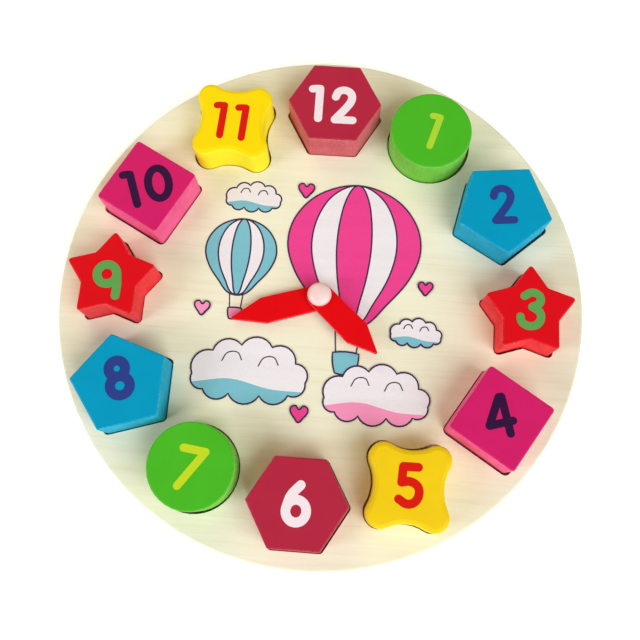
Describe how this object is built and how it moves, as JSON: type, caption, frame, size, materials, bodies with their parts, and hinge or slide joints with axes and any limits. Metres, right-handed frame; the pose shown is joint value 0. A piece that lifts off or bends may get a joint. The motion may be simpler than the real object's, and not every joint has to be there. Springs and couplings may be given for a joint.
{
  "type": "teaching clock",
  "caption": "Round plywood board with loose painted shape blocks standing in pockets round its rim, and two flat hands turned by hand about a capped pin at its centre.",
  "frame": {"origin": "under the centre of the dial, on the surface that the clock lies on", "axes": "+Z out of the dial, +Y towards 12 o'clock, +X towards 3 o'clock"},
  "size_m": [0.225, 0.225, 0.0247],
  "materials": {
    "circle_paint": "satin green paint",
    "pentagon_paint": "satin blue paint",
    "star_paint": "satin red paint",
    "square_paint": "satin magenta paint",
    "lobed_paint": "satin yellow paint",
    "hexagon_paint": "satin crimson paint",
    "hand_paint": "satin red paint",
    "pale_ply": "bare sanded plywood with a clear satin coat",
    "pink_plastic": "pale pink moulded plastic, glossy"
  },
  "bodies": {
    "board": {"board_face": "pale_ply", "board_back": "pale_ply", "hub_pin": "pink_plastic", "rivet_socket": "pink_plastic", "lower_washer": "pink_plastic", "middle_washer": "pink_plastic"},
    "block_01": {"block_01": "circle_paint"},
    "block_02": {"block_02": "pentagon_paint"},
    "block_03": {"block_03": "star_paint"},
    "block_04": {"block_04": "square_paint"},
    "block_05": {"block_05": "lobed_paint"},
    "block_06": {"block_06": "hexagon_paint"},
    "block_07": {"block_07": "circle_paint"},
    "block_08": {"block_08": "pentagon_paint"},
    "block_09": {"block_09": "star_paint"},
    "block_10": {"block_10": "square_paint"},
    "block_11": {"block_11": "lobed_paint"},
    "block_12": {"block_12": "hexagon_paint"},
    "minute_hand": {"minute_hand": "hand_paint"},
    "hour_hand": {"hour_hand": "hand_paint"}
  },
  "joints": [
    {"name": "block_01_lift", "type": "slide", "parent": "board", "child": "block_01", "axis": [0, 0, 1], "range_m": [0, 0.03]},
    {"name": "block_02_lift", "type": "slide", "parent": "board", "child": "block_02", "axis": [0, 0, 1], "range_m": [0, 0.03]},
    {"name": "block_03_lift", "type": "slide", "parent": "board", "child": "block_03", "axis": [0, 0, 1], "range_m": [0, 0.03]},
    {"name": "block_04_lift", "type": "slide", "parent": "board", "child": "block_04", "axis": [0, 0, 1], "range_m": [0, 0.03]},
    {"name": "block_05_lift", "type": "slide", "parent": "board", "child": "block_05", "axis": [0, 0, 1], "range_m": [0, 0.03]},
    {"name": "block_06_lift", "type": "slide", "parent": "board", "child": "block_06", "axis": [0, 0, 1], "range_m": [0, 0.03]},
    {"name": "block_07_lift", "type": "slide", "parent": "board", "child": "block_07", "axis": [0, 0, 1], "range_m": [0, 0.03]},
    {"name": "block_08_lift", "type": "slide", "parent": "board", "child": "block_08", "axis": [0, 0, 1], "range_m": [0, 0.03]},
    {"name": "block_09_lift", "type": "slide", "parent": "board", "child": "block_09", "axis": [0, 0, 1], "range_m": [0, 0.03]},
    {"name": "block_10_lift", "type": "slide", "parent": "board", "child": "block_10", "axis": [0, 0, 1], "range_m": [0, 0.03]},
    {"name": "block_11_lift", "type": "slide", "parent": "board", "child": "block_11", "axis": [0, 0, 1], "range_m": [0, 0.03]},
    {"name": "block_12_lift", "type": "slide", "parent": "board", "child": "block_12", "axis": [0, 0, 1], "range_m": [0, 0.03]},
    {"name": "minute_hand_turn", "type": "hinge", "parent": "board", "child": "minute_hand", "pos_m": [0, 0, 0.0115], "axis": [0, 0, -1], "continuous": true},
    {"name": "hour_hand_turn", "type": "hinge", "parent": "board", "child": "hour_hand", "pos_m": [0, 0, 0.0146], "axis": [0, 0, -1], "continuous": true}
  ]
}
